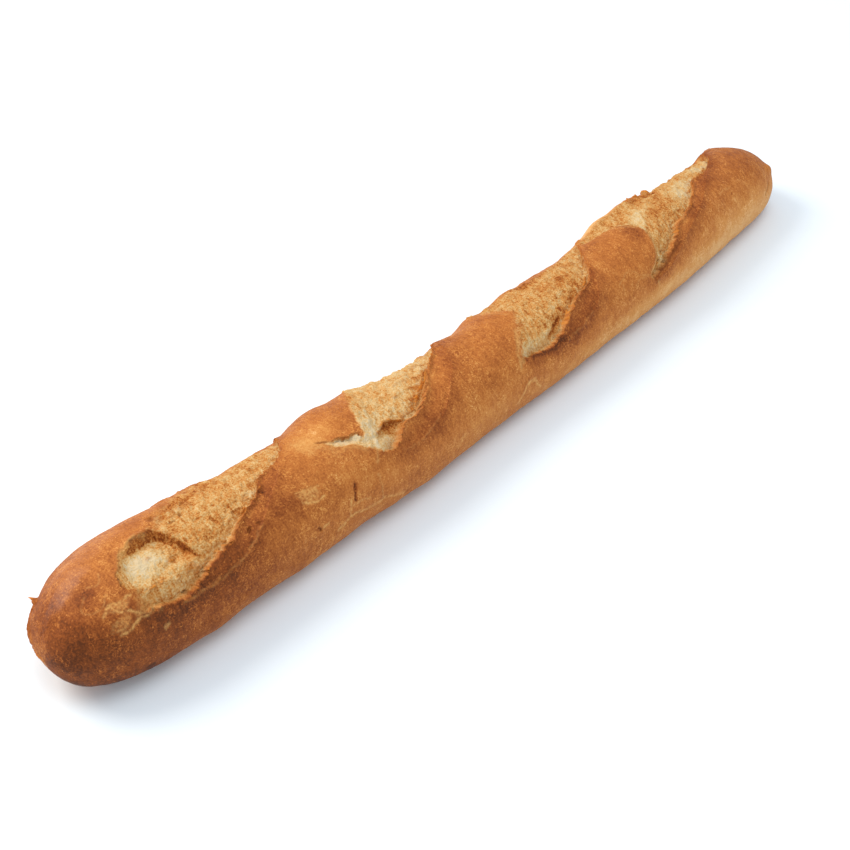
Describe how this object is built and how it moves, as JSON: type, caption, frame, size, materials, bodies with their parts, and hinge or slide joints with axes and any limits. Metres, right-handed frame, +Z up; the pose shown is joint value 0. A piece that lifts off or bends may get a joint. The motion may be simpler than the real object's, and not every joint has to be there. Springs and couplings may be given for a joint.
{
  "type": "baguette",
  "caption": "Long crusty wheat loaf with slanting scores along its top, torn open to pale crumb, on a flat base to lie on a table or shelf.",
  "frame": {"origin": "on the base plane, under the middle of the loaf's bounding box", "axes": "+X along the loaf from its thick end to its thin end, +Z up, -Y the side that the scores open towards"},
  "size_m": [0.58, 0.0722, 0.0556],
  "materials": {
    "crust": "golden brown baked crust, matte with a faint sheen, pale rough crumb in the torn scores"
  },
  "bodies": {
    "root": {"loaf": "crust"}
  },
  "joints": []
}
